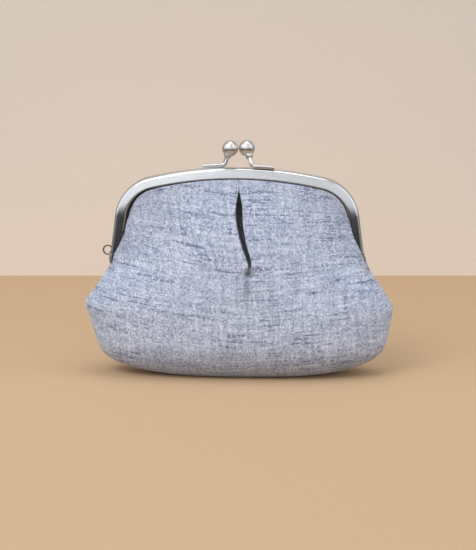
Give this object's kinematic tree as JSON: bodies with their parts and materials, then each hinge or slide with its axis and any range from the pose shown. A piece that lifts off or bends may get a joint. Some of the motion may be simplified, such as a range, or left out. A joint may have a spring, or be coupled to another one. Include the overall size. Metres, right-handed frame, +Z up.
{
  "type": "clasp frame coin purse",
  "caption": "Coin purse with a hinged arched metal frame closed by a ball snap, gripping a padded and lined cloth pouch with a front tuck and flared sides.",
  "frame": {"origin": "centre of the flat that the purse stands on, at table height", "axes": "+X along the mouth, to the right as the front is seen; +Y from the front to the back; +Z up"},
  "size_m": [0.1484, 0.044, 0.1126],
  "materials": {
    "frame_metal": "matte brushed nickel",
    "clasp_metal": "satin polished nickel",
    "pin_metal": "darkened nickel",
    "outer_cloth": "slub linen and cotton weave",
    "padding": "fusible fleece",
    "lining": "plain fine cotton",
    "paper_cord": "twisted paper"
  },
  "bodies": {
    "bag": {"front_cloth_body": "outer_cloth", "rear_cloth_body": "outer_cloth", "front_padding_body": "padding", "rear_padding_body": "padding", "front_lining_body": "lining", "rear_lining_body": "lining"},
    "front_half": {"front_frame": "frame_metal", "front_cloth_top": "outer_cloth", "front_padding_top": "padding", "front_lining_top": "lining", "front_paper_cord": "paper_cord", "front_clasp_arm": "clasp_metal", "front_clasp_collar": "clasp_metal", "front_clasp_ball": "clasp_metal", "left_hinge_pin": "pin_metal", "right_hinge_pin": "pin_metal"},
    "rear_half": {"rear_frame": "frame_metal", "rear_cloth_top": "outer_cloth", "rear_padding_top": "padding", "rear_lining_top": "lining", "rear_paper_cord": "paper_cord", "rear_clasp_arm": "clasp_metal", "rear_clasp_collar": "clasp_metal", "rear_clasp_ball": "clasp_metal", "charm_ring": "pin_metal"}
  },
  "joints": [
    {"name": "front_opening", "type": "hinge", "parent": "bag", "child": "front_half", "pos_m": [0, 0, 0.0555], "axis": [1, 0, 0], "range_deg": [0, 45], "deforming": ["front_cloth_body", "front_padding_body", "front_lining_body"]},
    {"name": "rear_opening", "type": "hinge", "parent": "bag", "child": "rear_half", "pos_m": [0, 0, 0.0555], "axis": [-1, 0, 0], "range_deg": [0, 45], "deforming": ["rear_cloth_body", "rear_padding_body", "rear_lining_body"]}
  ],
  "couplings": [
    {"joint": "rear_opening", "follows": "front_opening", "ratio": 1}
  ]
}
